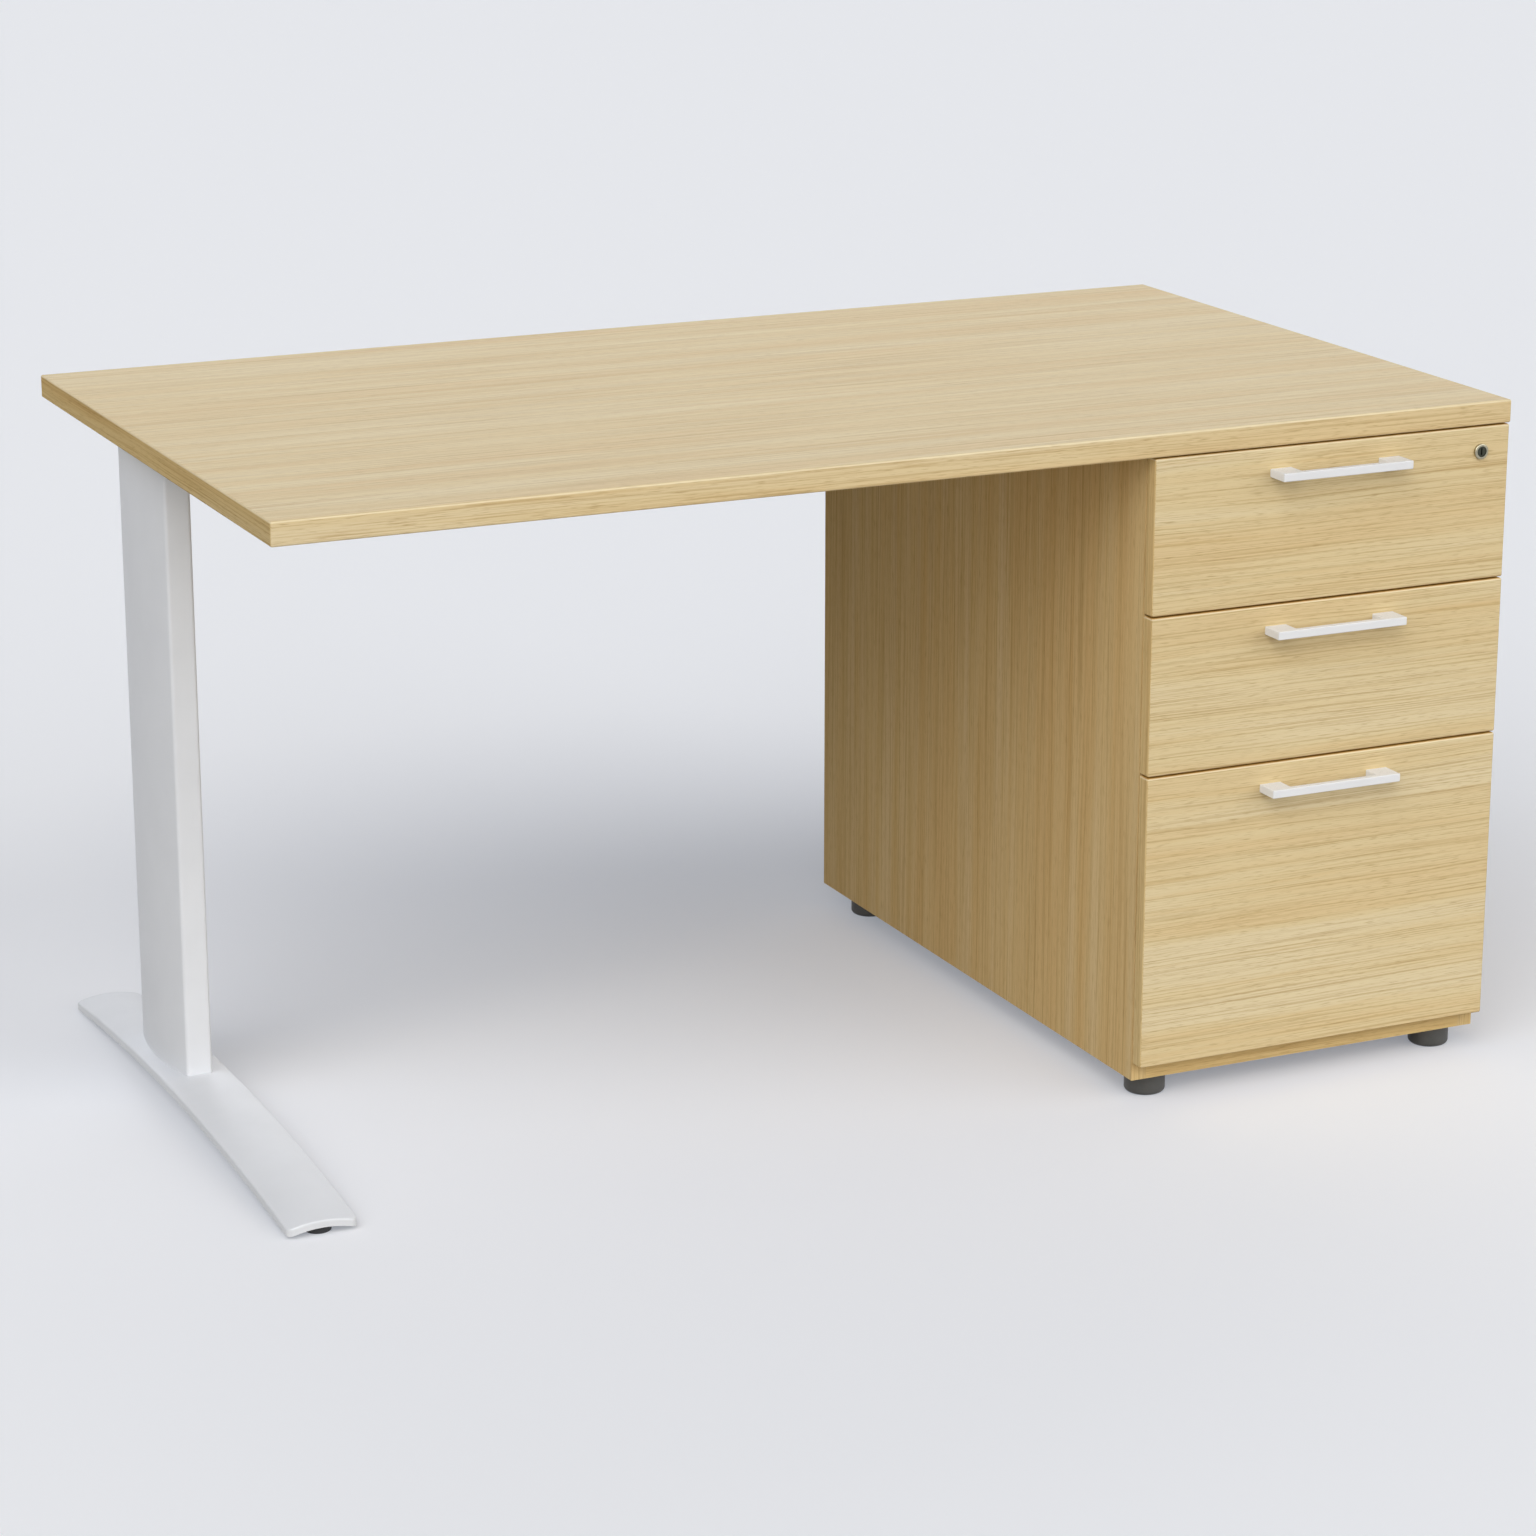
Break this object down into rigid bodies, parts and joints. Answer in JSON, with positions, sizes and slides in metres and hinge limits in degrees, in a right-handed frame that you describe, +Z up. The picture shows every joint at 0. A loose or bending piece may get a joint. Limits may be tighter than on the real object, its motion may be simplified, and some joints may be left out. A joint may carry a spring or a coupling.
{
  "type": "pedestal desk",
  "caption": "Rectangular oak desk carried by a drawer pedestal with lock on the right and a white column leg with an arched foot on the left.",
  "frame": {"origin": "on the floor, under the middle of the desk's outline with its handles", "axes": "+X to the seated user's right along the desk's width, +Y away from the user, +Z up"},
  "size_m": [1.4, 0.826, 0.745],
  "materials": {
    "oak": "matt oak decor",
    "drawer_board": "matt white melamine",
    "beech": "plain",
    "white_metal": "white powder coat",
    "steel": "zinc plated",
    "chrome": "polished",
    "dark_metal": "satin",
    "grey_plastic": "matt moulded",
    "black_plastic": "matt moulded"
  },
  "bodies": {
    "desk": {"beam_bracket_left": "white_metal", "beam_bracket_right": "white_metal", "beam_screws": "steel", "centre_drawer_runner_fixed": "steel", "desktop": "oak", "file_drawer_runner_fixed": "steel", "leg_arm": "white_metal", "leg_arm_caps": "black_plastic", "leg_arm_screws": "steel", "leg_bolts": "steel", "leg_column": "white_metal", "leg_column_inserts": "steel", "leg_foot": "white_metal", "pedestal_back": "oak", "pedestal_bottom": "oak", "pedestal_dowels": "beech", "pedestal_foot_inserts": "steel", "pedestal_front_rail": "oak", "pedestal_rear_rail": "oak", "pedestal_side_left": "oak", "pedestal_side_right": "oak", "pedestal_top_screws": "steel", "support_beam": "white_metal", "top_drawer_runner_fixed": "steel"},
    "top_drawer": {"lock_housing": "chrome", "top_drawer_back": "drawer_board", "top_drawer_bottom": "drawer_board", "top_drawer_front": "oak", "top_drawer_handle": "white_metal", "top_drawer_handle_screws": "steel", "top_drawer_runner_moving": "steel", "top_drawer_side_left": "drawer_board", "top_drawer_side_right": "drawer_board"},
    "top_drawer_runners": {"top_drawer_runner_intermediate": "steel"},
    "centre_drawer": {"centre_drawer_back": "drawer_board", "centre_drawer_bottom": "drawer_board", "centre_drawer_front": "oak", "centre_drawer_handle": "white_metal", "centre_drawer_handle_screws": "steel", "centre_drawer_runner_moving": "steel", "centre_drawer_side_left": "drawer_board", "centre_drawer_side_right": "drawer_board"},
    "centre_drawer_runners": {"centre_drawer_runner_intermediate": "steel"},
    "file_drawer": {"file_drawer_back": "drawer_board", "file_drawer_bottom": "drawer_board", "file_drawer_front": "oak", "file_drawer_handle": "white_metal", "file_drawer_handle_screws": "steel", "file_drawer_runner_moving": "steel", "file_drawer_side_left": "drawer_board", "file_drawer_side_right": "drawer_board"},
    "file_drawer_runners": {"file_drawer_runner_intermediate": "steel"},
    "lock": {"lock_plug": "dark_metal", "lock_cam": "steel"},
    "pedestal_foot_front_left": {"pedestal_foot_front_left": "grey_plastic"},
    "pedestal_foot_front_right": {"pedestal_foot_front_right": "grey_plastic"},
    "pedestal_foot_rear_left": {"pedestal_foot_rear_left": "grey_plastic"},
    "pedestal_foot_rear_right": {"pedestal_foot_rear_right": "grey_plastic"},
    "leg_glide_front": {"leg_glide_front": "black_plastic"},
    "leg_glide_rear": {"leg_glide_rear": "black_plastic"}
  },
  "joints": [
    {"name": "top_drawer_slide", "type": "slide", "parent": "desk", "child": "top_drawer", "axis": [0, -1, 0], "range_m": [0, 0.6]},
    {"name": "top_drawer_runner_slide", "type": "slide", "parent": "desk", "child": "top_drawer_runners", "axis": [0, -1, 0], "range_m": [0, 0.3]},
    {"name": "centre_drawer_slide", "type": "slide", "parent": "desk", "child": "centre_drawer", "axis": [0, -1, 0], "range_m": [0, 0.6]},
    {"name": "centre_drawer_runner_slide", "type": "slide", "parent": "desk", "child": "centre_drawer_runners", "axis": [0, -1, 0], "range_m": [0, 0.3]},
    {"name": "file_drawer_slide", "type": "slide", "parent": "desk", "child": "file_drawer", "axis": [0, -1, 0], "range_m": [0, 0.6]},
    {"name": "file_drawer_runner_slide", "type": "slide", "parent": "desk", "child": "file_drawer_runners", "axis": [0, -1, 0], "range_m": [0, 0.3]},
    {"name": "lock_turn", "type": "hinge", "parent": "top_drawer", "child": "lock", "pos_m": [0.664, -0.385, 0.691], "axis": [0, -1, 0], "range_deg": [0, 90]},
    {"name": "pedestal_foot_front_left_turn", "type": "hinge", "parent": "desk", "child": "pedestal_foot_front_left", "pos_m": [0.297, -0.3345, 0], "axis": [0, 0, 1], "range_deg": [0, 720]},
    {"name": "pedestal_foot_front_right_turn", "type": "hinge", "parent": "desk", "child": "pedestal_foot_front_right", "pos_m": [0.665, -0.3345, 0], "axis": [0, 0, 1], "range_deg": [0, 720]},
    {"name": "pedestal_foot_rear_left_turn", "type": "hinge", "parent": "desk", "child": "pedestal_foot_rear_left", "pos_m": [0.297, 0.35, 0], "axis": [0, 0, 1], "range_deg": [0, 720]},
    {"name": "pedestal_foot_rear_right_turn", "type": "hinge", "parent": "desk", "child": "pedestal_foot_rear_right", "pos_m": [0.665, 0.35, 0], "axis": [0, 0, 1], "range_deg": [0, 720]},
    {"name": "leg_glide_front_turn", "type": "hinge", "parent": "desk", "child": "leg_glide_front", "pos_m": [-0.6575, -0.334, 0], "axis": [0, 0, 1], "range_deg": [0, 720]},
    {"name": "leg_glide_rear_turn", "type": "hinge", "parent": "desk", "child": "leg_glide_rear", "pos_m": [-0.6575, 0.39, 0], "axis": [0, 0, 1], "range_deg": [0, 720]}
  ],
  "couplings": [
    {"joint": "top_drawer_runner_slide", "follows": "top_drawer_slide", "ratio": 0.5},
    {"joint": "centre_drawer_runner_slide", "follows": "centre_drawer_slide", "ratio": 0.5},
    {"joint": "file_drawer_runner_slide", "follows": "file_drawer_slide", "ratio": 0.5}
  ]
}
